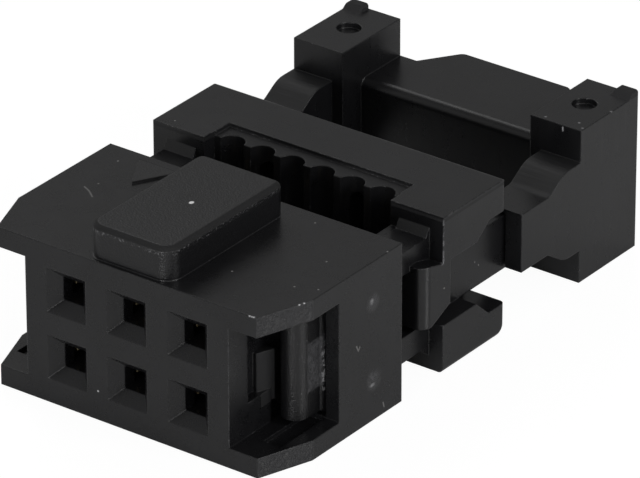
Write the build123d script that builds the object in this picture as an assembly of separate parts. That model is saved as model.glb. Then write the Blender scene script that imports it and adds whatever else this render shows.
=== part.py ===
from build123d import *
import os

# Ribbon-cable socket, 2 rows of 3 ways, pulled apart on its own guides: housing with contacts,
# cover and strain relief. X runs along the rows, Y from the mating face to the rear, Z up.
# All sizes are in millimetres. While a piece is modelled, Y is 0 on the mating face.

# Grid of the ways
pitch = 2.54
columns = 3
rows = 2
wire_pitch = 1.27

# Housing
end_margin = 3.61
housing_thickness = 6.0
housing_depth = 7.05
lip_thickness = 0.75
lip_chamfer_x = 0.73
lip_chamfer_y = 2.05
pocket_depth = 3.53
pocket_width = 1.9
lead_in_width = 1.66
lead_in_depth = 0.43
hole_width = 0.84
hole_depth = 0.93
cavity_clearance = 0.08
cavity_end = 5.0
key_width = 3.5
key_height = 1.25
key_front = 0.15
key_rear_margin = 0.65
key_front_radius = 0.6
key_rear_radius = 0.3
key_top_radius = 0.2
marker_size = 1.73
marker_height = 0.08
marker_tip_y = 5.1
marker_from_end = 2.45
lip_recess_front = 1.05
lip_recess_width = 0.7
lip_recess_depth = 0.15

# Catch beside the nose, in each end pocket
flange_depth = 1.03
undercut_depth = 0.35
catch_start = 1.78
catch_length = 0.69
catch_bottom = 1.55
catch_height = 1.9
catch_proud = 0.05
catch_lean = 0.25
ledge_end = 2.31
ledge_top = 2.0

# Cable platform on the housing's rear
platform_width = 7.7
platform_depth = 1.2
platform_bottom = 1.1
platform_height = 3.6

# Contacts
contact_thickness = 0.25
tine_root_width = 1.6
tine_tip_width = 1.36
tine_start = 1.1
grip_place = 1.7
grip_gap = 0.54
tine_gap = 0.84
blade_width = 0.8
blade_slot = 0.24
blade_slot_start = 7.6
blade_tip = 9.0
blade_bevel = 0.2
prong_tip_half = 0.3

# Cover
cover_travel = 1.2
seat_gap = 0.05
cover_depth = 3.63
cover_thickness = 5.94
comb_width = 7.9
comb_recess = 0.58
groove_radius = 0.5
groove_sink = 0.07
shelf_step = 0.16
shelf_depth = 0.8
channel_width = 0.66
channel_extra = 0.4
channel_bottom = 0.8
channel_top = 5.2
recess_width = 1.73
recess_start = 0.41
recess_bottom = 1.83
recess_top = 4.2
ramp_start = 1.93
ramp_length = 0.73
ramp_bottom = 1.18
ramp_top = 4.75
foot_radius = 0.4
rear_radius = 0.2
channel_play = 0.5
rail_thickness = 0.48
rail_bottom = 1.83
rail_top = 3.9
rail_overhang = 2.15
post_length = 1.12
post_bottom = 2.07
post_top = 4.4
post_radius = 0.4
post_flat_bottom = 0.45
post_flat_top = 0.4
post_rise = 0.48
post_fall = 0.2
leg_thickness = 1.26
leg_play = 0.05
leg_bottom = 0.87
leg_top = 5.07
leg_front = 2.3
tip_inset_inner = 0.1
tip_inset_outer = 0.16
tip_inset_z = 0.13
tip_straight = 1.15
tip_step = 0.35
leg_slot_clearance = 0.04
leg_slot_clearance_z = 0.07
window_front = 5.0
web_thickness = 0.45
gusset_rise = 0.34
gusset_depth_top = 0.2
gusset_depth_bottom = 0.42
root_length = 1.07
root_inset_z = 0.07

# Strain relief
relief_clearance = 0.07
relief_travel = 4.12
relief_stop_gap = 0.05
arm_length = 3.5
arm_ramp_start = 1.65
arm_ramp_length = 0.9
arm_foot_radius = 0.5
arm_head_radius = 1.1
block_depth = 3.45
block_width = 2.13
block_thickness = 5.9
rail_groove_clearance = 0.07
bar_setback = 1.1
bar_bottom = 1.48
bar_top = 4.45
bar_radius = 0.35
boss_depth = 1.45
boss_root_width = 6.6
boss_end_width = 4.6
boss_radius = 0.3
dimple_diameter = 0.9
dimple_depth = 0.22
dimple_from_end = 1.1
dimple_from_rear = 1.67
nib_width = 0.73
nib_length = 0.55
nib_ramp = 0.24
nib_height = 0.2
nib_radius = 0.1

# Places that follow from the sizes above
half_length = (columns - 1) * pitch / 2 + end_margin
middle_z = housing_thickness / 2
row_z = [middle_z + (row - (rows - 1) / 2) * pitch for row in range(rows)]
column_x = [(column - (columns - 1) / 2) * pitch for column in range(columns)]
wire_count = rows * columns
groove_x = [(wire - (wire_count - 1) / 2) * wire_pitch for wire in range(wire_count)]
nose_half = half_length - pocket_width
platform_end = housing_depth + platform_depth
post_front = housing_depth + seat_gap + cover_travel
cover_front = post_front + post_length
cover_rear = cover_front + cover_depth
comb_front = cover_front + comb_recess
groove_y = comb_front - groove_sink
recess_inner = half_length - recess_width
recess_front = cover_front + recess_start
rail_inner = recess_inner + channel_play
rail_outer = rail_inner + rail_thickness
rail_end = cover_rear + rail_overhang
leg_inner = nose_half + leg_play
leg_outer = leg_inner + leg_thickness
web_outer = leg_inner + web_thickness
slot_outer = leg_outer + leg_slot_clearance
slot_bottom = leg_bottom - leg_slot_clearance_z
slot_top = leg_top + leg_slot_clearance_z
arm_front = recess_front + relief_stop_gap + relief_travel
block_front = arm_front + arm_length
block_rear = block_front + block_depth
block_inner = half_length - block_width
groove_inner = rail_inner - rail_groove_clearance
groove_outer = rail_outer + rail_groove_clearance
groove_bottom = rail_bottom - rail_groove_clearance
groove_top = rail_top + rail_groove_clearance
groove_end = rail_end + relief_travel + 2 * rail_groove_clearance
arm_inner = recess_inner + relief_clearance
bar_front = block_front + bar_setback
overall_length = block_rear + boss_depth
reach = 1.0


def block(x0, x1, y0, y1, z0, z1):
    """A rectangular block between two corners."""
    size = Box(x1 - x0, y1 - y0, z1 - z0)
    return Pos((x0 + x1) / 2, (y0 + y1) / 2, (z0 + z1) / 2) * size


def from_side(points, x0, x1):
    """A solid with its outline given as (Y, Z) points, from x0 to x1."""
    return extrude(Plane.YZ.offset(x0) * Polygon(*points, align=None), amount=x1 - x0)


def from_above(points, z0, z1):
    """A solid with its outline given as (X, Y) points, from z0 to z1."""
    return extrude(Plane.XY.offset(z0) * Polygon(*points, align=None), amount=z1 - z0)


def both_ends(shape):
    """The shape at the +X end together with its mirror image at the -X end."""
    return shape + mirror(shape, about=Plane.YZ)


def blade_shift(row):
    """The upper row's blades stand half a wire pitch to the left, the lower row's to the right."""
    return wire_pitch / 2 if row == 0 else -wire_pitch / 2


def contact_span(x, row):
    """The two X ends of a contact's body, which also carries the blade."""
    low = min(x - tine_root_width / 2, x + blade_shift(row) - blade_width / 2)
    high = max(x + tine_root_width / 2, x + blade_shift(row) + blade_width / 2)
    return low, high


def way_cut(x, row):
    """Everything that one way takes out of the housing: lead-in, hole, cavity and blade slot."""
    z = row_z[row]
    mouth = Plane(origin=(x, 0, z), x_dir=(1, 0, 0), z_dir=(0, 1, 0))
    outer = mouth * Rectangle(lead_in_width, lead_in_width)
    inner = mouth.offset(lead_in_depth) * Rectangle(hole_width, hole_width)
    cut = loft([outer, inner])
    half_hole = hole_width / 2
    cut += block(x - half_hole, x + half_hole, 0, hole_depth + reach, z - half_hole, z + half_hole)
    half_cavity = tine_root_width / 2 + cavity_clearance
    cut += block(x - half_cavity, x + half_cavity, hole_depth, cavity_end, z - half_hole, z + half_hole)
    low, high = contact_span(x, row)
    half_sheet = contact_thickness / 2
    cut += block(low, high, cavity_end, platform_end + reach, z - half_sheet, z + half_sheet)
    return cut


def key():
    """Polarising key on top of the housing."""
    front = key_front
    rear = housing_depth - key_rear_margin
    body = block(-key_width / 2, key_width / 2, front, rear, 0, housing_thickness + key_height)
    upright = body.edges().filter_by(Axis.Z).sort_by(Axis.Y)
    body = fillet(upright[:2], key_front_radius)
    upright = body.edges().filter_by(Axis.Z).sort_by(Axis.Y)
    body = fillet(upright[-2:], key_rear_radius)
    body = fillet(body.faces().sort_by(Axis.Z)[-1].edges(), key_top_radius)
    return body


def key_above(z):
    """The part of the key that stands above the given height."""
    upper = block(-key_width, key_width, 0, housing_depth, z, housing_thickness + 2 * key_height)
    return key() & upper


def marker():
    """Triangle beside way 1, raised on the top, with its tip towards the mating face."""
    x = -half_length + marker_from_end
    rear = marker_tip_y + marker_size * 3 ** 0.5 / 2
    points = [(x, marker_tip_y), (x + marker_size / 2, rear), (x - marker_size / 2, rear)]
    return from_above(points, housing_thickness - seat_gap, housing_thickness + marker_height)


def end_pocket_cut():
    """Pocket at the +X end, with the undercut behind the nose's flange."""
    top = housing_thickness - lip_thickness
    cut = block(nose_half, half_length + reach, -reach, pocket_depth, lip_thickness, top)
    inner = nose_half - undercut_depth
    cut += block(inner, half_length, flange_depth, pocket_depth, lip_thickness, top)
    return cut


def lip_recess_cut():
    """Shallow recess in the lower lip at the +X end, below the outer part of the leg's tip."""
    return block(leg_outer - lip_recess_width, leg_outer, lip_recess_front, pocket_depth,
                 lip_thickness - lip_recess_depth, lip_thickness + seat_gap)


def catch():
    """Ledge and slanted catch that stand in the +X undercut, beside the leg's tip."""
    inner = nose_half - undercut_depth - seat_gap
    ledge = block(inner, nose_half, flange_depth - seat_gap, ledge_end, lip_thickness - seat_gap, ledge_top)
    outer = nose_half + catch_proud
    rear = catch_start + catch_length
    points = [(inner, catch_start), (outer - catch_lean, catch_start), (outer, rear), (inner, rear)]
    return ledge + from_above(points, catch_bottom, catch_bottom + catch_height)


def housing():
    """Moulded socket body."""
    chamfer_x = half_length - lip_chamfer_x
    outline = [(-chamfer_x, 0), (chamfer_x, 0), (half_length, lip_chamfer_y), (half_length, housing_depth),
               (-half_length, housing_depth), (-half_length, lip_chamfer_y)]
    body = from_above(outline, 0, housing_thickness)
    body -= both_ends(end_pocket_cut())
    body += both_ends(catch())
    body -= both_ends(block(nose_half, slot_outer, pocket_depth - reach, housing_depth + reach,
                            slot_bottom, slot_top))
    body += block(-platform_width / 2, platform_width / 2, housing_depth - seat_gap, platform_end,
                  platform_bottom, platform_bottom + platform_height)
    for x in column_x:
        for row in range(rows):
            body -= way_cut(x, row)
    body -= both_ends(lip_recess_cut())
    body += marker()
    body += key_above(housing_thickness - seat_gap)
    return body


def contact(x, row):
    """Flat stamping: a fork that grips the pin and, behind it, a slotted blade for the wire."""
    low, high = contact_span(x, row)
    root = cavity_end
    tip = tine_tip_width / 2
    half = tine_root_width / 2
    tines = Polygon((x - tip, tine_start), (x + tip, tine_start), (x + half, root), (x - half, root),
                    align=None)
    body_end = platform_end - platform_depth
    body = Pos((low + high) / 2, (root + body_end) / 2) * Rectangle(high - low, body_end - root)
    centre = x + blade_shift(row)
    blade_half = blade_width / 2
    shoulder = blade_tip - blade_bevel
    blade = Polygon((centre - blade_half, root), (centre + blade_half, root),
                    (centre + blade_half, shoulder), (centre + prong_tip_half, blade_tip),
                    (centre - prong_tip_half, blade_tip), (centre - blade_half, shoulder), align=None)
    sheet = tines + body + blade
    grip = grip_gap / 2
    gap = tine_gap / 2
    gap_root = root - gap
    sheet -= Polygon((x - gap, tine_start), (x + gap, tine_start), (x + grip, grip_place),
                     (x + gap, gap_root), (x - gap, gap_root), (x - grip, grip_place), align=None)
    sheet -= Pos(x, gap_root) * Circle(gap)
    slot = blade_slot / 2
    sheet -= Polygon((centre - slot, blade_slot_start), (centre + slot, blade_slot_start),
                     (centre + slot, shoulder - blade_bevel / 2), (centre + prong_tip_half, blade_tip),
                     (centre - prong_tip_half, blade_tip), (centre - slot, shoulder - blade_bevel / 2),
                     align=None)
    sheet -= Pos(centre, blade_slot_start) * Circle(slot)
    return extrude(Pos(0, 0, row_z[row] - contact_thickness / 2) * sheet, amount=contact_thickness)


def relief_channel_cut(x):
    """Round-topped channel sunk deeper into one cable groove."""
    radius = channel_width / 2
    rear = groove_y + groove_radius + channel_extra
    cut = block(x - radius, x + radius, comb_front, rear, channel_bottom, channel_top - radius)
    arch = Plane(origin=(x, comb_front, channel_top - radius), x_dir=(1, 0, 0), z_dir=(0, 1, 0))
    return cut + extrude(arch * Circle(radius), amount=rear - comb_front)


def arm_recess_cut():
    """Space at the +X end of the cover that takes the strain relief's arm."""
    ramp_foot = cover_front + ramp_start
    ramp_head = ramp_foot + ramp_length
    behind = cover_rear + reach
    outline = [(recess_front, recess_bottom), (ramp_foot, recess_bottom), (ramp_head, ramp_bottom),
               (behind, ramp_bottom), (behind, ramp_top), (ramp_head, ramp_top), (ramp_foot, recess_top),
               (recess_front, recess_top)]
    return from_side(outline, recess_inner, half_length + reach)


def post():
    """Post at the +X end of the cover: its front stops the cover on the housing's rear."""
    outline = [(post_front, post_bottom), (post_front + post_flat_bottom, post_bottom),
               (recess_front, post_bottom + post_rise), (recess_front, recess_top + seat_gap),
               (cover_front, post_top - post_fall), (post_front + post_flat_top, post_top),
               (post_front, post_top)]
    body = from_side(outline, web_outer - seat_gap, half_length)
    upright = body.edges().filter_by(Axis.Z).sort_by(Axis.Y)[:2].sort_by(Axis.X)[-1]
    return fillet(upright, post_radius)


def leg():
    """Leg at the +X end: it runs through the housing's end wall and ends in a rounded tip."""
    tip_inner = leg_inner + tip_inset_inner
    tip_outer = leg_outer - tip_inset_outer
    radius = (tip_outer - tip_inner) / 2
    tip_rear = leg_front + tip_straight
    full = tip_rear + tip_step
    left = (tip_inner, leg_front + radius)
    right = (tip_outer, leg_front + radius)
    nose = ThreePointArc(left, ((tip_inner + tip_outer) / 2, leg_front), right)
    rest = Polyline(right, (tip_outer, tip_rear), (leg_outer, full), (leg_outer, recess_front),
                    (leg_inner, recess_front), (leg_inner, full), (tip_inner, tip_rear), left)
    plan = extrude(make_face(nose + rest), amount=cover_thickness)
    low = leg_bottom + tip_inset_z
    high = leg_top - tip_inset_z
    outline = [(leg_front, low), (tip_rear, low), (full, leg_bottom),
               (cover_front - gusset_depth_bottom, leg_bottom), (cover_front, leg_bottom - gusset_rise),
               (recess_front, leg_bottom - gusset_rise), (recess_front, leg_top + gusset_rise),
               (cover_front, leg_top + gusset_rise), (cover_front - gusset_depth_top, leg_top),
               (full, leg_top), (tip_rear, high), (leg_front, high)]
    body = plan & from_side(outline, 0, half_length)
    return body - block(web_outer, half_length, window_front, recess_front, recess_bottom, recess_top)


def root():
    """Web between the leg's root and the comb, at the +X end."""
    return block(comb_width / 2, leg_inner + seat_gap, cover_front - root_length, cover_front + seat_gap,
                 leg_bottom + root_inset_z, leg_top - root_inset_z)


def cover():
    """Cover with cable grooves, guide rails, posts and latch legs."""
    body = block(-half_length, half_length, cover_front, cover_rear, 0, cover_thickness)
    rear = body.faces().sort_by(Axis.Y)[-1]
    body = fillet(rear.edges().sort_by(Axis.Z)[0], foot_radius)
    rear = body.faces().sort_by(Axis.Y)[-1]
    body = fillet(rear.edges().sort_by(Axis.Z)[1:], rear_radius)
    body -= both_ends(arm_recess_cut())
    half_comb = comb_width / 2
    body -= block(-half_comb, half_comb, cover_front - reach, comb_front, -reach, cover_thickness + reach)
    body -= block(-half_comb + seat_gap, half_comb - seat_gap, comb_front - seat_gap,
                  comb_front + shelf_depth, cover_thickness - shelf_step, cover_thickness + reach)
    for x in groove_x:
        body -= Pos(x, groove_y, cover_thickness / 2) * Cylinder(groove_radius, cover_thickness + reach)
    for x in (groove_x[1], groove_x[-2]):
        body -= relief_channel_cut(x)
    gap = block(web_outer, half_length + reach, cover_front - reach, recess_front, recess_bottom, recess_top)
    body -= both_ends(gap)
    rail = block(rail_inner, rail_outer, recess_front - seat_gap, rail_end, rail_bottom, rail_top)
    return body + both_ends(leg() + root() + post() + rail)


def arm():
    """Arm of the strain relief at the +X end, with ramps that match the cover's recess."""
    low = recess_bottom + relief_clearance
    high = recess_top - relief_clearance
    wide_low = ramp_bottom + relief_clearance
    wide_high = ramp_top - relief_clearance
    ramp_foot = arm_front + arm_ramp_start
    ramp_head = ramp_foot + arm_ramp_length
    rear = block_front + reach
    outline = [(arm_front, low), (ramp_foot, low), (ramp_head, wide_low), (rear, wide_low),
               (rear, wide_high), (ramp_head, wide_high), (ramp_foot, high), (arm_front, high)]
    body = from_side(outline, arm_inner, half_length)
    for bend, radius in ((ramp_foot, arm_foot_radius), (ramp_head, arm_head_radius)):
        along = body.edges().filter_by(Axis.X)
        body = fillet(along.filter_by_position(Axis.Y, bend - seat_gap, bend + seat_gap), radius)
    return body


def end_block():
    """Block of the strain relief at the +X end, with its arm, rail groove, dimple and nib."""
    body = block(block_inner, half_length, block_front, block_rear, 0, block_thickness)
    body += arm()
    body -= block(groove_inner, groove_outer, arm_front - reach, groove_end, groove_bottom, groove_top)
    nib_front = block_rear - nib_length
    nib_bottom = block_thickness - nib_height
    nib_top = block_thickness + nib_height
    outline = [(nib_front, nib_bottom), (block_rear, nib_bottom), (block_rear, nib_top),
               (nib_front + nib_ramp, nib_top), (nib_front, block_thickness)]
    nib = from_side(outline, half_length - nib_width, half_length)
    body += fillet(nib.faces().sort_by(Axis.Z)[-1].edges().filter_by(Axis.Y), nib_radius)
    dimple_x = half_length - dimple_from_end
    dimple_y = block_rear - dimple_from_rear
    dimple = Cylinder(dimple_diameter / 2, 2 * dimple_depth)
    return body - Pos(dimple_x, dimple_y, block_thickness) * dimple


def strain_relief():
    """Bridge that holds the cable against the cover's rear."""
    bar = block(-block_inner - seat_gap, block_inner + seat_gap, bar_front, block_rear, bar_bottom, bar_top)
    bar = fillet(bar.edges().filter_by(Axis.X).sort_by(Axis.Y)[:2], bar_radius)
    rear = overall_length
    outline = [(-boss_root_width / 2, block_rear - seat_gap), (boss_root_width / 2, block_rear - seat_gap),
               (boss_root_width / 2, block_rear), (boss_end_width / 2, rear), (-boss_end_width / 2, rear),
               (-boss_root_width / 2, block_rear)]
    boss = from_above(outline, bar_bottom, bar_top)
    boss = fillet(boss.edges().filter_by(Axis.Z).sort_by(Axis.Y)[-2:], boss_radius)
    return both_ends(end_block()) + bar + boss


pieces = {"housing": housing(), "cover": cover(), "strain_relief": strain_relief()}
number = 1
for row_index in reversed(range(rows)):
    for x_place in column_x:
        pieces[f"contact_{number}"] = contact(x_place, row_index)
        number += 1

for name, piece in pieces.items():
    placed = Pos(0, -overall_length / 2, 0) * piece
    solids = placed.solids()
    print(name, "solids", len(solids), "volume", round(placed.volume, 3))
    export_step(solids[0] if len(solids) == 1 else placed, f"parts/{name}.step")
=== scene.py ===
# %% [markdown]
# # A ribbon-cable socket, pulled apart
# The part is a small black connector in three mouldings: the socket housing with its six holes, the
# grooved cover that presses the cable onto the contacts, and the strain relief behind it. This lesson
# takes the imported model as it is, because its shapes are already right, and gives it what a moulded
# part has and a plain solid lacks: rounded and worn edges, a fine grain, flow lines, gate marks, dust
# and a few scratches.

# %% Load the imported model
import math
import bpy
from mathutils import Matrix, Vector

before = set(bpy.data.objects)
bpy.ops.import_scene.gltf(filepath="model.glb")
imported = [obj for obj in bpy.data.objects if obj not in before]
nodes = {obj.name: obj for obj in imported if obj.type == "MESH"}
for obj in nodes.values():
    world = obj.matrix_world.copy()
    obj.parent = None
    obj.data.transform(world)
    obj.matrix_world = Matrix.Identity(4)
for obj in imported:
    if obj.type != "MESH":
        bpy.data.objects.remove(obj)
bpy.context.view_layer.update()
bpy.ops.object.select_all(action="DESELECT")
MM = 0.001
scene = bpy.context.scene
scene.view_settings.view_transform = "Standard"
print("pieces:", sorted(nodes))

# %% [markdown]
# ## The camera
# The photograph was taken from the front right and above, through a long lens, so that the three
# mouldings hardly shrink towards the back. The place and the lens follow from the grid of the holes,
# whose real spacing is known. The shift is the small rest that the framing needs.

# %% Set up the camera
CAMERA_PLACE = Vector((0.12390, -0.16699, 0.11198))
LOOK = Vector((-0.52827, 0.70974, -0.46604)).normalized()
ACROSS = Vector((0.80282, 0.59622, -0.00202)).normalized()
SENSOR_MM, LENS_MM = 36.0, 385.19
SHIFT_X, SHIFT_Y = 0.0021, 0.0009
NEAREST, FURTHEST = 0.01, 20.0

camera_data = bpy.data.cameras.new("camera")
camera_data.sensor_width = SENSOR_MM
camera_data.lens = LENS_MM
camera_data.shift_x = SHIFT_X
camera_data.shift_y = SHIFT_Y
camera_data.clip_start = NEAREST
camera_data.clip_end = FURTHEST
camera = bpy.data.objects.new("camera", camera_data)
scene.collection.objects.link(camera)
right = (ACROSS - LOOK * ACROSS.dot(LOOK)).normalized()
upward = right.cross(LOOK)
turn = Matrix((right, upward, -LOOK)).transposed()
camera.matrix_world = Matrix.Translation(CAMERA_PLACE) @ turn.to_4x4()
scene.camera = camera
print("camera looks down by", round(math.degrees(math.asin(-LOOK.z)), 1), "degrees")

# %% [markdown]
# ## Small helpers for node trees
# Each finish below is a chain of nodes. A few short helpers keep that chain readable: one adds a
# node, one joins two sockets, and one does arithmetic on sockets or plain numbers. Masks are mostly
# multiplied, because a product is only 1 where all of them are, so the product has its own helper.

# %% Helpers for nodes and arithmetic
def add_node(tree, kind, **settings):
    made = tree.nodes.new(kind)
    for name, value in settings.items():
        setattr(made, name, value)
    return made


def feed(tree, socket, value):
    """Joins a socket to another one, or sets it to a plain value."""
    if isinstance(value, bpy.types.NodeSocket):
        tree.links.new(value, socket)
    else:
        socket.default_value = value


def maths(tree, operation, first, second=0.0, clamp=False):
    made = add_node(tree, "ShaderNodeMath", operation=operation, use_clamp=clamp)
    feed(tree, made.inputs[0], first)
    feed(tree, made.inputs[1], second)
    return made.outputs[0]


def product(tree, first, *others):
    total = first
    for other in others:
        total = maths(tree, "MULTIPLY", total, other)
    return total


print("node helpers ready")

# %% [markdown]
# ## Patterns in real millimetres
# Every pattern reads the point's own place in the part's frame, turned into millimetres. So a grain
# is equally fine on every piece and from every side, and a mark stays where it is when its piece
# moves. A smooth step cuts a soft noise into patches with fading rims.

# %% Helpers for patterns
def scaled(tree, place, factors, shift=(0.0, 0.0, 0.0)):
    made = add_node(tree, "ShaderNodeVectorMath", operation="MULTIPLY_ADD")
    feed(tree, made.inputs[0], place)
    made.inputs[1].default_value = factors
    made.inputs[2].default_value = shift
    return made.outputs[0]


def millimetres(tree):
    """The point being shaded, in millimetres of the part's own frame, with its X, Y and Z."""
    source = add_node(tree, "ShaderNodeTexCoord")
    place = scaled(tree, source.outputs["Object"], (1000.0, 1000.0, 1000.0))
    split = add_node(tree, "ShaderNodeSeparateXYZ")
    feed(tree, split.inputs[0], place)
    return place, split.outputs[0:3]


def between(tree, value, low, high, first=0.0, last=1.0):
    """Smooth step: first at low, last at high."""
    made = add_node(tree, "ShaderNodeMapRange", interpolation_type="SMOOTHSTEP")
    for socket, number in zip(made.inputs[:5], (value, low, high, first, last)):
        feed(tree, socket, number)
    return made.outputs[0]


def band(tree, value, start, full, still_full, end):
    """Rises from 0 to 1 between start and full, and falls back between still_full and end."""
    return product(tree, between(tree, value, end, still_full), between(tree, value, start, full))


def noise(tree, place, scale, detail, roughness=0.5):
    made = add_node(tree, "ShaderNodeTexNoise")
    feed(tree, made.inputs["Vector"], place)
    made.inputs["Scale"].default_value = scale
    made.inputs["Detail"].default_value = detail
    made.inputs["Roughness"].default_value = roughness
    return made.outputs["Fac"]


def patches(tree, place, grain, limits, strength=(0.0, 1.0)):
    """A noise of the given scale, detail and roughness, cut into patches between two limits."""
    return between(tree, noise(tree, place, *grain), *limits, *strength)


def mix_value(tree, share, first, second):
    made = add_node(tree, "ShaderNodeMix", data_type="FLOAT")
    feed(tree, made.inputs[0], share)
    feed(tree, made.inputs[2], first)
    feed(tree, made.inputs[3], second)
    return made.outputs[0]


def mix_colour(tree, share, first, second):
    made = add_node(tree, "ShaderNodeMix", data_type="RGBA")
    feed(tree, made.inputs[0], share)
    feed(tree, made.inputs[6], first)
    feed(tree, made.inputs[7], second)
    return made.outputs[2]


print("pattern helpers ready")

# %% [markdown]
# ## Masks for edges
# A moulding of this kind is the same black all through, so what the eye reads on it is its edges. The
# Bevel node gives the normal that a slightly rounded edge would have. Where that normal leaves the
# face's own, there is an edge, and a broken noise turns it into the speckled pale line that handling
# leaves.

# %% Masks for edges
FACE_LIKENESS, EDGE_LIKENESS = 0.995, 0.86


def rounded_normal(tree, radius):
    made = add_node(tree, "ShaderNodeBevel", samples=6)
    made.inputs["Radius"].default_value = radius * MM
    return made.outputs[0]


def edge_mask(tree, radius):
    """1 on an edge and 0 on a flat face, within the given radius in millimetres."""
    soft = rounded_normal(tree, radius)
    face = add_node(tree, "ShaderNodeNewGeometry").outputs["True Normal"]
    likeness = add_node(tree, "ShaderNodeVectorMath", operation="DOT_PRODUCT")
    feed(tree, likeness.inputs[0], soft)
    feed(tree, likeness.inputs[1], face)
    return between(tree, likeness.outputs["Value"], FACE_LIKENESS, EDGE_LIKENESS)


print("an edge starts where the normals differ by",
      round(math.degrees(math.acos(FACE_LIKENESS)), 1), "degrees")

# %% [markdown]
# ## Masks for marks
# A mark at a known place is a soft ellipsoid or a soft box around that place. Both are plain
# arithmetic on the point's millimetres, so they need no picture and no unwrapping. Places along the
# part are easiest to measure from the front lip, and LENGTH_HALF takes them to the frame, whose
# origin is in the middle. Loose dust has no known place, so it comes from a few cells of a pattern.

# %% Masks for places
LENGTH_HALF = 11.2
PICKED_CELLS = (0.70, 0.72)


def spot_mask(tree, place, centre, size, soft):
    """1 inside an ellipsoid of the given half sizes in millimetres, fading out over its rim."""
    factors = [1.0 / s for s in size]
    shift = [-c / s for c, s in zip(centre, size)]
    made = add_node(tree, "ShaderNodeVectorMath", operation="LENGTH")
    feed(tree, made.inputs[0], scaled(tree, place, factors, shift))
    return between(tree, made.outputs["Value"], 1.0, 1.0 - soft)


def box_mask(tree, parts, corner, far_corner, soft=0.04):
    """1 inside a box between two corners in millimetres, fading out over its walls."""
    total = 1.0
    for value, low, high in zip(parts, corner, far_corner):
        total = product(tree, total, between(tree, value, low - soft, low + soft))
        total = product(tree, total, between(tree, value, high + soft, high - soft))
    return total


def most(tree, masks):
    total = masks[0]
    for mask in masks[1:]:
        total = maths(tree, "MAXIMUM", total, mask)
    return total


def spots(tree, place, centres, size, soft):
    """Ellipsoids of one size, at places whose Y is counted from the front lip."""
    return most(tree, [spot_mask(tree, place, (x, y - LENGTH_HALF, z), size, soft)
                       for x, y, z in centres])


def dust_mask(tree, place, density, size):
    """Sparse round specks: the middles of a few cells of a cell pattern."""
    cells = add_node(tree, "ShaderNodeTexVoronoi")
    feed(tree, cells.inputs["Vector"], place)
    cells.inputs["Scale"].default_value = density
    near = between(tree, cells.outputs["Distance"], size * density, 0.5 * size * density)
    pick = add_node(tree, "ShaderNodeSeparateColor")
    feed(tree, pick.inputs[0], cells.outputs["Color"])
    return product(tree, near, between(tree, pick.outputs[0], *PICKED_CELLS))


print("place masks ready, the front lip is at y =", -LENGTH_HALF)

# %% [markdown]
# ## The black moulding compound
# Glass-filled black polyester is nearly colourless: almost all of the light that it sends back is a
# dull surface reflection. So its own colour is very dark, its roughness is in the middle, and the
# grain of the mould goes into a bump. The sockets of a finish are kept in a notebook, so that each
# moulding can lay the marks of its own wear, and its painted shade and highlights, over them before
# the shader is joined.

# %% Start a black plastic
INK = (0.0048, 0.0048, 0.0054, 1.0)
CLOUDED = (0.0070, 0.0070, 0.0078, 1.0)
FLOW_GREY = (0.0095, 0.0095, 0.0105, 1.0)
WORN = (0.11, 0.11, 0.115, 1.0)
DUST = (0.42, 0.41, 0.40, 1.0)


def raise_surface(book, height):
    book["height"] = maths(book["tree"], "ADD", book["height"], height)


def add_mark(book, mask, colour, rough, height):
    """Lays a mark over the finish: its colour and roughness, and how far it stands out."""
    tree = book["tree"]
    book["colour"] = mix_colour(tree, mask, book["colour"], colour)
    book["rough"] = mix_value(tree, mask, book["rough"], rough)
    raise_surface(book, product(tree, mask, height))


def around_zero(tree, pattern, strength):
    """A pattern that adds as much as it takes away."""
    return product(tree, maths(tree, "SUBTRACT", pattern, 0.5), strength)


def black_plastic(name, shine, grain, wear, edge=0.07, streak=(1.0, 1.0, 1.0)):
    """A moulded finish. Returns the notebook of its sockets."""
    material = bpy.data.materials.new(name)
    material.use_nodes = True
    tree = material.node_tree
    tree.nodes.clear()
    place, xyz = millimetres(tree)
    cloud = noise(tree, place, 0.45, 3.0)
    flow = noise(tree, scaled(tree, place, streak), 1.6, 4.0, 0.6)
    fine = noise(tree, place, 17.0, 2.0, 0.6)
    colour = mix_colour(tree, between(tree, cloud, 0.3, 0.7), INK, CLOUDED)
    flow_share = product(tree, between(tree, flow, 0.45, 0.75), 0.35)
    colour = mix_colour(tree, flow_share, colour, FLOW_GREY)
    rough = maths(tree, "ADD", shine, around_zero(tree, flow, 0.14))
    rough = maths(tree, "ADD", rough, around_zero(tree, fine, 0.12))
    height = maths(tree, "ADD", product(tree, fine, grain), product(tree, flow, 0.35))
    book = {"material": material, "tree": tree, "place": place, "xyz": xyz, "edge": edge,
            "colour": colour, "rough": rough, "height": height}
    rubbed = patches(tree, place, (7.0, 3.0, 0.7), (0.58 - 0.1 * wear, 0.70))
    worn = maths(tree, "MULTIPLY", product(tree, edge_mask(tree, edge), rubbed), wear, clamp=True)
    add_mark(book, worn, WORN, 0.55, 0.4)
    return book


print("plastic starts from the colour", INK[0:3])

# %% [markdown]
# ## Joining the finish to its piece
# The shader comes last, when all marks are laid. The bump is a few thousandths of a millimetre deep
# and starts from the rounded normal, so that a moulded edge catches the light as a real one does.
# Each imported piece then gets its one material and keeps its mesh.

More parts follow.
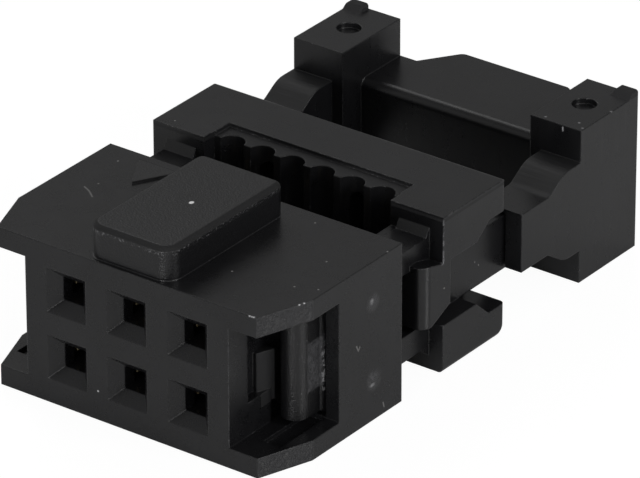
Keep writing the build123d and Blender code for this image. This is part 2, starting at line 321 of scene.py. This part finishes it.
# %% Close a plastic and dress a piece
def close_plastic(book, depth=0.004, level=0.48):
    """Joins the notebook's sockets to the shader and returns the material."""
    tree = book["tree"]
    shader = add_node(tree, "ShaderNodeBsdfPrincipled")
    shader.inputs["Specular IOR Level"].default_value = level
    bump = add_node(tree, "ShaderNodeBump")
    bump.inputs["Strength"].default_value = 1.0
    bump.inputs["Distance"].default_value = depth * MM
    feed(tree, bump.inputs["Height"], book["height"])
    feed(tree, bump.inputs["Normal"], rounded_normal(tree, book["edge"]))
    feed(tree, shader.inputs["Base Color"], book["colour"])
    feed(tree, shader.inputs["Roughness"], book["rough"])
    feed(tree, shader.inputs["Normal"], bump.outputs["Normal"])
    output = add_node(tree, "ShaderNodeOutputMaterial")
    feed(tree, output.inputs["Surface"], shader.outputs[0])
    print("finish", book["material"].name, "has", len(tree.nodes), "nodes")
    return book["material"]


def dress(name, material):
    slots = nodes[name].data.materials
    slots.clear()
    slots.append(material)


print("closing helpers ready")

# %% [markdown]
# ## The housing and its key
# The housing's top and sides are smooth from a polished mould. The key on top of it is spark-eroded:
# matte, with a grain that the eye just catches. Its rounded upper edge is dull and painted darker, as
# painted shade, and just below the round a row of pale specks is painted as glints of the highlight.
# The edges of the small raised triangle beside the key get no wear: they are painted darker and
# dulled, as painted shade.

# %% Finish of the housing and its key
TOP, SIDE = 6.0, 6.15
KEY_TOP, KEY_ROUND = 7.25, 0.20
KEY_BLACK = (0.0040, 0.0040, 0.0046, 1.0)
ROUND_PAINTED_SHADE = (0.0030, 0.0030, 0.0034, 1.0)
KEY_PAINTED_GLINT = (0.15, 0.15, 0.155, 1.0)
MARKER_EDGE_SHADE = (0.0035, 0.0035, 0.0040, 1.0)
housing_book = black_plastic("housing_plastic_finish", shine=0.29, grain=0.35, wear=0.35)
tree = housing_book["tree"]
place = housing_book["place"]
x_mm, y_mm, z_mm = housing_book["xyz"]

on_key = between(tree, z_mm, TOP + 0.03, TOP + 0.10)
add_mark(housing_book, product(tree, on_key, 0.9), KEY_BLACK, 0.34, 0.0)
key_grain = noise(tree, place, 13.0, 2.0, 0.65)
raise_surface(housing_book, product(tree, key_grain, on_key, 4.0))

painted_round_shade = band(tree, z_mm, KEY_TOP - 0.9 * KEY_ROUND, KEY_TOP - 0.7 * KEY_ROUND,
                KEY_TOP - 0.010, KEY_TOP - 0.002)
# Painted shade: the key's round is painted darker and dulled.
add_mark(housing_book, painted_round_shade, ROUND_PAINTED_SHADE, 0.85, 0.0)
below_round = band(tree, z_mm, KEY_TOP - 1.7 * KEY_ROUND, KEY_TOP - 1.3 * KEY_ROUND,
                   KEY_TOP - 0.9 * KEY_ROUND, KEY_TOP - 0.75 * KEY_ROUND)
# Painted highlight: pale specks below the round stand in for scattered glints of the light.
painted_key_glints = product(tree, below_round, patches(tree, place, (12.0, 2.0, 0.8), (0.54, 0.66)))
add_mark(housing_book, product(tree, painted_key_glints, 0.60), KEY_PAINTED_GLINT, 0.5, 1.0)

on_marker = box_mask(tree, (x_mm, y_mm, z_mm), (-4.75, -6.25, 5.95), (-2.6, -4.5, 6.2))
# Painted shade: the triangle's edges are painted darker and dulled.
add_mark(housing_book, product(tree, edge_mask(tree, 0.07), on_marker), MARKER_EDGE_SHADE, 0.85, 0.0)
print("key finished up to z =", KEY_TOP)

# %% [markdown]
# ## Gate marks
# The plastic was pressed into the mould through two small gates in the end face. Where they broke off,
# two rough grey patches stay behind, each with a pale torn heart. Each is an ellipsoid around a point
# of the face, cut up by a coarse noise and raised a little.

# %% Gate marks on the end face
GATE_GREY = (0.050, 0.050, 0.053, 1.0)
GATE_HEART = (0.20, 0.20, 0.205, 1.0)
gates = [spots(tree, place, [(SIDE, 5.39, 4.48)], (0.2, 0.44, 0.42), 0.8),
         spots(tree, place, [(SIDE, 5.45, 1.54)], (0.2, 0.52, 0.50), 0.8)]
gate_rough = patches(tree, place, (4.0, 5.0, 0.8), (0.38, 0.62), (0.15, 1.0))
add_mark(housing_book, product(tree, most(tree, gates), gate_rough), GATE_GREY, 0.60, 6.0)
gate_hearts = [spots(tree, place, [(SIDE, 5.36, 4.52)], (0.2, 0.12, 0.16), 0.6),
               spots(tree, place, [(SIDE, 5.38, 1.36)], (0.2, 0.20, 0.10), 0.8)]
add_mark(housing_book, product(tree, most(tree, gate_hearts), 0.7), GATE_HEART, 0.5, 1.0)
print("gate marks:", len(gates))

# %% [markdown]
# ## Rough flanks of the lips
# The front corners of the lips end in slanted flanks that were never polished in the mould. A point
# lies on a flank when it is outside a slanted line in the view from above, and with the absolute value
# of X one line serves both corners. The upright edges of the nose's flange get a broken pale line, a
# painted highlight.

# %% Flanks and nose
FLANK_RUN, FLANK_RISE = 0.73, 2.05
FLANGE_DEPTH = 1.03
FLANK_GREY = (0.0145, 0.0145, 0.016, 1.0)
NOSE_EDGE_HIGHLIGHT = (0.065, 0.065, 0.068, 1.0)
mirrored = (maths(tree, "ABSOLUTE", x_mm), y_mm, z_mm)
from_lip = maths(tree, "ADD", y_mm, LENGTH_HALF)
flank_side = maths(tree, "SUBTRACT", product(tree, mirrored[0], FLANK_RISE),
                   product(tree, from_lip, FLANK_RUN))
on_flank = between(tree, flank_side, 11.06, 11.10)
flank_grain = patches(tree, place, (5.0, 4.0, 0.7), (0.40, 0.64), (0.2, 1.0))
add_mark(housing_book, product(tree, on_flank, flank_grain), FLANK_GREY, 0.48, 4.0)

nose_edges = [box_mask(tree, mirrored, (4.15, edge_y - 0.08, 0.78),
                       (4.33, edge_y + 0.08, 5.22), 0.03)
              for edge_y in (-LENGTH_HALF, FLANGE_DEPTH - LENGTH_HALF)]
# Painted highlight: a broken pale line on the nose's upright edges.
nose_highlight_lines = product(tree, most(tree, nose_edges), edge_mask(tree, 0.07))
highlight_breaks = patches(tree, place, (4.0, 2.0, 0.7), (0.38, 0.66), (0.15, 0.9))
add_mark(housing_book, product(tree, nose_highlight_lines, highlight_breaks), NOSE_EDGE_HIGHLIGHT, 0.5, 0.5)
print("rough flanks of the lips and painted highlights on the nose's edges added")

# %% [markdown]
# ## Dust and chips on the housing
# A part that has been handled carries a few specks of dust and some tiny chips along the lip. They are
# set one by one where they can be seen, because a random scatter never looks quite like the real one.
# The slanted catch in each end pocket is painted darker, as painted shade, and is duller than the
# faces around it.

# %% Dust, catches and chips
CATCH_PAINTED_SHADE = (0.0045, 0.0045, 0.0052, 1.0)
CHIP_GREY = (0.55, 0.55, 0.56, 1.0)
SPECK_WHITE = (0.80, 0.80, 0.80, 1.0)
DUST_SPOTS = [(-5.13, 6.16, TOP), (-4.63, 4.46, TOP), (6.11, 6.27, TOP), (4.91, 4.51, TOP),
              (5.10, 2.48, TOP), (5.86, 2.78, TOP), (2.81, 2.12, TOP), (0.22, 3.32, KEY_TOP),
              (2.96, 6.5, TOP)]
LIP_CHIPS = [(5.13, 0.0, TOP), (5.22, 0.0, TOP), (5.30, 0.02, TOP), (5.69, 0.61, TOP),
             (5.98, 1.58, TOP), (6.04, 1.76, TOP), (-1.24, 0.0, 1.10)]
BIG_SPECK = (0.22, 3.32, KEY_TOP)

specks = spots(tree, place, DUST_SPOTS, (0.045, 0.055, 0.05), 0.8)
add_mark(housing_book, product(tree, specks, 0.55), DUST, 0.8, 0.0)
# Painted shade: the catch inside each pocket is painted darker.
on_catch = box_mask(tree, mirrored, (3.95, -9.46, 1.50), (4.36, -8.70, 3.50), 0.02)
add_mark(housing_book, on_catch, CATCH_PAINTED_SHADE, 0.62, -1.0)
lip_chips = spots(tree, place, LIP_CHIPS, (0.06, 0.06, 0.05), 0.7)
add_mark(housing_book, product(tree, lip_chips, 0.8), CHIP_GREY, 0.7, 0.0)
big_speck = spots(tree, place, [BIG_SPECK], (0.10, 0.13, 0.05), 0.5)
add_mark(housing_book, big_speck, SPECK_WHITE, 0.8, 0.0)
print("dust spots:", len(DUST_SPOTS), "chips on the lip:", len(LIP_CHIPS))

# %% [markdown]
# ## Scratches on the housing
# A scratch is a hair-thin curved line. It is laid as a row of small overlapping spots along a few
# points, which bends more easily than a box does. With this the housing's marks are complete, so its
# finish is closed and put on the piece.

# %% Scratches
SCRATCH_WIDTH = 0.045
SCRATCHES = [[(-4.87, -7.20, TOP), (-4.57, -7.34, TOP), (-4.20, -7.62, TOP)],
             [(SIDE, -6.70, 3.20), (SIDE, -6.60, 3.00), (SIDE, -6.52, 3.10)],
             [(SIDE, -5.20, 0.42), (SIDE, -5.15, 0.25)]]


def hair_mask(tree, place, points, width):
    """A thin line through the given points in millimetres, as a row of overlapping spots."""
    row = []
    for first, last in zip(points, points[1:]):
        steps = max(2, round(math.dist(first, last) / (1.1 * width)))
        for step in range(steps):
            share = step / (steps - 1)
            middle = [a + (b - a) * share for a, b in zip(first, last)]
            row.append(spot_mask(tree, place, middle, (width, width, width), 0.6))
    return most(tree, row)


for points in SCRATCHES:
    scratch = hair_mask(tree, place, points, SCRATCH_WIDTH)
    add_mark(housing_book, product(tree, scratch, 0.30), DUST, 0.7, 0.0)
print("scratches:", len(SCRATCHES))
dress("housing", close_plastic(housing_book))

# %% [markdown]
# ## The cover
# The cover comes from the same compound, and its edges are more worn, where the cable was pressed. The
# tips of its legs are grained like the key; they are painted darker, as painted shade in the pockets,
# and pale specks on their fronts are painted glints. The tip of the right leg has a scuffed patch
# with a pale torn rim, as if it had rubbed past the housing's catch.

# %% Finish of the cover and its legs
LEG_TIP_SHADE = (0.0035, 0.0035, 0.0040, 1.0)
LEG_GLINT = (0.16, 0.16, 0.16, 1.0)
SCUFF_GREY = (0.046, 0.046, 0.049, 1.0)
SCUFF_RIM = (0.36, 0.36, 0.37, 1.0)
cover_book = black_plastic("cover_plastic_finish", shine=0.30, grain=0.5, wear=0.6)
tree = cover_book["tree"]
place = cover_book["place"]
xyz = cover_book["xyz"]
cover_dust = dust_mask(tree, place, 1.1, 0.04)
add_mark(cover_book, product(tree, cover_dust, 0.5), DUST, 0.8, 0.0)

on_leg_tip = between(tree, xyz[1], -7.2, -7.35)
# Painted shade: the leg tips inside the pockets are painted darker.
add_mark(cover_book, on_leg_tip, LEG_TIP_SHADE, 0.33, 0.0)
leg_grain = noise(tree, place, 12.0, 3.0, 0.7)
raise_surface(cover_book, product(tree, leg_grain, on_leg_tip, 5.0))
# Painted highlight: pale glints on the front of the leg tip.
leg_glints = product(tree, on_leg_tip, patches(tree, place, (10.0, 2.0, 0.8), (0.66, 0.74)))
leg_front = spot_mask(tree, place, (5.36, -8.3, 3.0), (0.28, 0.9, 2.2), 0.5)
add_mark(cover_book, product(tree, leg_glints, leg_front), LEG_GLINT, 0.5, 0.5)

scuff = box_mask(tree, xyz, (5.22, -8.40, 1.95), (5.70, -7.60, 3.80), 0.06)
scuff_grain = patches(tree, place, (6.0, 4.0, 0.75), (0.30, 0.68), (0.25, 1.0))
add_mark(cover_book, product(tree, scuff, scuff_grain), SCUFF_GREY, 0.6, 2.0)
scuff_rim = box_mask(tree, xyz, (5.45, -7.70, 1.75), (5.70, -7.58, 3.85), 0.04)
rim_broken = patches(tree, place, (4.0, 3.0, 0.75), (0.45, 0.56))
add_mark(cover_book, product(tree, scuff_rim, rim_broken), SCUFF_RIM, 0.6, 2.0)
print("legs of the cover finished")

# %% [markdown]
# ## Shelf and comb of the cover
# A shallow shelf runs along the cover's top, over the comb of cable grooves. It is dull, and its rim
# gets a broken row of pale specks, painted glints. The right post's upright front edge is chipped
# along its upper half, and the root of the right leg has lost two crumbs.

# %% Marks on the shelf, the post and the root
SHELF_Z = 5.78
SHELF_BLACK = (0.0045, 0.0045, 0.0052, 1.0)
RIM_GLINT = (0.15, 0.15, 0.15, 1.0)
POST_CHIP = (0.20, 0.20, 0.21, 1.0)
CRUMB_GREY = (0.30, 0.30, 0.31, 1.0)
ROOT_CHIPS = [(4.98, 8.62, 5.41), (5.52, 8.96, 5.20)]

on_shelf = band(tree, xyz[2], SHELF_Z - 0.03, SHELF_Z - 0.02, SHELF_Z + 0.06, SHELF_Z + 0.12)
on_shelf = product(tree, on_shelf, 0.9)
add_mark(cover_book, on_shelf, SHELF_BLACK, 0.62, 0.0)
from_shelf = between(tree, xyz[2], SHELF_Z - 0.02, SHELF_Z)
shelf_rim = product(tree, from_shelf, edge_mask(tree, 0.12))
# Painted highlight: pale glints along the shelf's rim.
rim_glints = patches(tree, place, (8.0, 3.0, 0.8), (0.55, 0.68))
add_mark(cover_book, product(tree, shelf_rim, rim_glints, 0.55), RIM_GLINT, 0.5, 1.2)

post_edge = box_mask(tree, xyz, (6.02, -1.90, 4.10), (6.30, -1.62, 6.00), 0.03)
chipped = product(tree, edge_mask(tree, 0.10), post_edge)
post_chips = patches(tree, place, (3.5, 3.0, 0.8), (0.42, 0.60))
add_mark(cover_book, product(tree, chipped, post_chips), POST_CHIP, 0.6, 1.5)
root_chips = spots(tree, place, ROOT_CHIPS, (0.09, 0.09, 0.09), 0.7)
add_mark(cover_book, product(tree, root_chips, 0.6), CRUMB_GREY, 0.6, 0.0)
print("shelf and comb marked at z =", SHELF_Z)
dress("cover", close_plastic(cover_book))

# %% [markdown]
# ## The strain relief
# The third moulding has the same finish, but its flow noise is stretched upwards into faint streaks,
# the way the plastic filled it. The ramps of its two arms are duller than the rest, are painted darker
# as painted shade, and have fine lines across. The true normal tells a ramp from the walls around it,
# since both lie in the same box.

# %% Finish of the strain relief and its ramps
RAMP_SHADE = (0.0035, 0.0035, 0.0040, 1.0)
RAMP_LINE = (0.010, 0.010, 0.011, 1.0)
UPRIGHT_STREAK = (2.5, 2.5, 0.35)
relief_book = black_plastic("relief_plastic_finish", shine=0.30, grain=0.45, wear=0.3,
                            streak=UPRIGHT_STREAK)
tree = relief_book["tree"]
place = relief_book["place"]
x_mm, y_mm, z_mm = relief_book["xyz"]
mirrored = (maths(tree, "ABSOLUTE", x_mm), y_mm, z_mm)
relief_dust = dust_mask(tree, place, 0.9, 0.04)
add_mark(relief_book, product(tree, relief_dust, 0.5), DUST, 0.8, 0.0)

facing = add_node(tree, "ShaderNodeSeparateXYZ")
feed(tree, facing.inputs[0], add_node(tree, "ShaderNodeNewGeometry").outputs["True Normal"])
ramp_box = box_mask(tree, mirrored, (4.3, 4.30, 4.00), (6.4, 6.34, 4.90), 0.12)
on_ramp = product(tree, ramp_box, between(tree, facing.outputs[2], 0.35, 0.6))
# Painted shade: the ramps are painted darker.
add_mark(relief_book, on_ramp, RAMP_SHADE, 0.56, 0.0)
ramp_lines = patches(tree, scaled(tree, place, (0.35, 6.0, 6.0)), (1.1, 3.0, 0.6),
                     (0.45, 0.68), (0.0, 0.6))
add_mark(relief_book, product(tree, on_ramp, ramp_lines), RAMP_LINE, 0.50, 1.0)
print("ramps of the strain relief finished")

# %% [markdown]
# ## Blocks and nibs of the strain relief
# The thick end blocks show pale upright streaks on their flanks, a chip on one front edge and a few
# pale specks on top. The small nibs at the outer rear corners are more matte. What is the same on
# both sides again uses the absolute value of X.

# %% Marks on the blocks
NIB_BLACK = (0.0060, 0.0060, 0.0068, 1.0)
STREAK_GREY = (0.030, 0.030, 0.032, 1.0)
SPECK_GREY = (0.40, 0.40, 0.41, 1.0)
BLOCK_SPECKS = [(5.73, 17.98, 5.9), (6.05, 17.71, 5.9), (4.53, 17.68, 5.9), (6.12, 19.34, 5.9)]
BLOCK_CHIP = (5.38, 17.50, 5.75)

block_specks = spots(tree, place, BLOCK_SPECKS, (0.07, 0.07, 0.05), 0.7)
add_mark(relief_book, product(tree, block_specks, 0.4), SPECK_GREY, 0.7, 0.0)
on_nib = box_mask(tree, mirrored, (5.35, 9.12, 5.88), (6.25, 9.85, 6.2), 0.03)
add_mark(relief_book, on_nib, NIB_BLACK, 0.72, 0.0)
on_flank_top = box_mask(tree, mirrored, (6.05, 6.0, 4.3), (6.25, 9.9, 6.0), 0.25)
streaks = patches(tree, scaled(tree, place, (4.0, 4.0, 0.22)), (1.0, 3.0, 0.6),
                  (0.5, 0.75), (0.0, 0.5))
add_mark(relief_book, product(tree, on_flank_top, streaks), STREAK_GREY, 0.42, 0.5)
block_chip = spots(tree, place, [BLOCK_CHIP], (0.05, 0.1, 0.13), 0.6)
add_mark(relief_book, product(tree, block_chip, 0.8), CRUMB_GREY, 0.6, 0.0)
print("specks on the blocks:", len(BLOCK_SPECKS))
dress("strain_relief", close_plastic(relief_book))

# %% [markdown]
# ## The contacts
# Six flat stampings of phosphor bronze sit in the housing. Only their blades show, between the housing
# and the cover, and their forks deep in the holes. A rolled sheet has fine lines along its length, and
# it darkens in patches, so the roughness follows a stretched noise and the colour a soft one.

# %% Finish of the contacts
BRONZE = (0.72, 0.6, 0.36, 1.0)
DARK_BRONZE = (0.42, 0.32, 0.18, 1.0)
ROLLED = (9.0, 0.6, 9.0)
metal = bpy.data.materials.new("contact_metal_finish")
metal.use_nodes = True
tree = metal.node_tree
tree.nodes.clear()
place = millimetres(tree)[0]
rolled = noise(tree, scaled(tree, place, ROLLED), 2.0, 4.0, 0.6)
tarnish = patches(tree, place, (1.4, 3.0), (0.35, 0.7))
colour = mix_colour(tree, tarnish, BRONZE, DARK_BRONZE)
rough = maths(tree, "ADD", 0.24, product(tree, rolled, 0.22))
shader = add_node(tree, "ShaderNodeBsdfPrincipled")
shader.inputs["Metallic"].default_value = 1.0
bump = add_node(tree, "ShaderNodeBump")
bump.inputs["Distance"].default_value = 0.003 * MM
feed(tree, bump.inputs["Height"], rolled)
feed(tree, bump.inputs["Normal"], rounded_normal(tree, 0.03))
feed(tree, shader.inputs["Base Color"], colour)
feed(tree, shader.inputs["Roughness"], rough)
feed(tree, shader.inputs["Normal"], bump.outputs["Normal"])
output = add_node(tree, "ShaderNodeOutputMaterial")
feed(tree, output.inputs["Surface"], shader.outputs[0])
contacts = [name for name in sorted(nodes) if name.startswith("contact_")]
for name in contacts:
    dress(name, metal)
print("contacts finished:", len(contacts))

# %% [markdown]
# ## The floor
# The part lies on a white laminate table. A large plain square is enough for it, a hair below the
# part, and a few cuts keep its faces from being too long.

# %% Lay the floor
FLOOR_SIZE, FLOOR_Z = 4.0, -0.00003
bpy.ops.mesh.primitive_plane_add(size=FLOOR_SIZE, location=(0.0, 0.0, FLOOR_Z))
floor = bpy.context.object
floor.name = "floor"
bpy.ops.object.mode_set(mode="EDIT")
bpy.ops.mesh.select_all(action="SELECT")
bpy.ops.mesh.subdivide(number_cuts=3)
bpy.ops.object.mode_set(mode="OBJECT")
print("floor laid at z =", floor.location.z)

# %% [markdown]
# ## The white of the table
# The camera sees most of the table as plain white, by a glow that only rays straight from the camera
# meet, so that it adds no light to the part. The rest is laminate as the lamps light it, matte with a
# soft sheen, and it carries the faint shadow under the part. The plastic mirrors only this lit
# laminate, which is what makes the upright faces readable.

# %% Finish of the table
TABLE_WHITE = (0.8, 0.8, 0.8, 1.0)
SHEEN_WHITE = (0.9, 0.9, 0.9, 1.0)
SHEEN_ROUGHNESS, SHEEN_SHARE = 0.28, 0.25
GLOW_STRENGTH, GLOW_SHARE = 1.10, 0.86
table = bpy.data.materials.new("white_table")
table.use_nodes = True
tree = table.node_tree
tree.nodes.clear()
matte = add_node(tree, "ShaderNodeBsdfDiffuse")
matte.inputs["Color"].default_value = TABLE_WHITE
sheen = add_node(tree, "ShaderNodeBsdfGlossy")
sheen.inputs["Color"].default_value = SHEEN_WHITE
sheen.inputs["Roughness"].default_value = SHEEN_ROUGHNESS
lit = add_node(tree, "ShaderNodeMixShader")
lit.inputs[0].default_value = SHEEN_SHARE
feed(tree, lit.inputs[1], matte.outputs[0])
feed(tree, lit.inputs[2], sheen.outputs[0])
glow = add_node(tree, "ShaderNodeEmission")
glow.inputs["Strength"].default_value = GLOW_STRENGTH
ray = add_node(tree, "ShaderNodeLightPath")
share = add_node(tree, "ShaderNodeMixShader")
feed(tree, share.inputs[0], product(tree, ray.outputs["Is Camera Ray"], GLOW_SHARE))
feed(tree, share.inputs[1], lit.outputs[0])
feed(tree, share.inputs[2], glow.outputs[0])
output = add_node(tree, "ShaderNodeOutputMaterial")
feed(tree, output.inputs["Surface"], share.outputs[0])
floor.data.materials.append(table)
print("table finish has", len(tree.nodes), "nodes")

# %% [markdown]
# ## The light
# Black plastic shows what it mirrors, so each softbox is placed by the face that mirrors it. Two large
# ones low at the rear grey the tops, and a small high one on the left draws the line on the round of
# the rear bar. Those in front and on the right are mostly seen by way of the table. The room itself
# adds a low, even light, so that the far sides stay readable too. A softbox is placed by its compass
# angle, counted from +X towards +Y, and by its height angle, both in degrees. Its size in metres and
# its power in watts follow.

# %% Light the scene
ROOM_WHITE, ROOM_LIGHT = (1.0, 1.0, 1.0, 1.0), 0.15
LAMP_DISTANCE = 0.5
AIM = Vector((0.0, 0.0, 0.003))
SOFTBOXES = {
    "right_softbox": (4, 28, 0.18, 0.86),
    "right_low_softbox": (5, 8, 0.16, 0.10),
    "right_high_softbox": (-25, 60, 0.40, 0.38),
    "front_right_softbox": (-40, 28, 0.40, 0.28),
    "front_low_softbox": (-80, 8, 0.16, 1.06),
    "front_left_softbox": (-130, 28, 0.40, 0.12),
    "left_softbox": (172, 28, 0.40, 0.44),
    "left_high_softbox": (146, 50, 0.18, 0.14),
    "rear_left_softbox": (126, 28, 0.40, 0.06),
    "rear_softbox": (80, 28, 0.40, 0.06),
}
world = bpy.data.worlds.new("room")
scene.world = world
world.use_nodes = True
room = world.node_tree.nodes["Background"]
room.inputs[0].default_value = ROOM_WHITE
room.inputs[1].default_value = ROOM_LIGHT
for name, (compass, height, size, power) in SOFTBOXES.items():
    turn_by, rise_by = math.radians(compass), math.radians(height)
    flat = math.cos(rise_by)
    away = Vector((math.cos(turn_by) * flat, math.sin(turn_by) * flat, math.sin(rise_by)))
    lamp = bpy.data.lights.new(name, "AREA")
    lamp.shape = "SQUARE"
    lamp.size = size
    lamp.energy = power
    holder = bpy.data.objects.new(name, lamp)
    scene.collection.objects.link(holder)
    holder.location = away * LAMP_DISTANCE
    holder.rotation_euler = (AIM - holder.location).to_track_quat("-Z", "Y").to_euler()
    print(name, "at", [round(value, 2) for value in holder.location], "power", power)
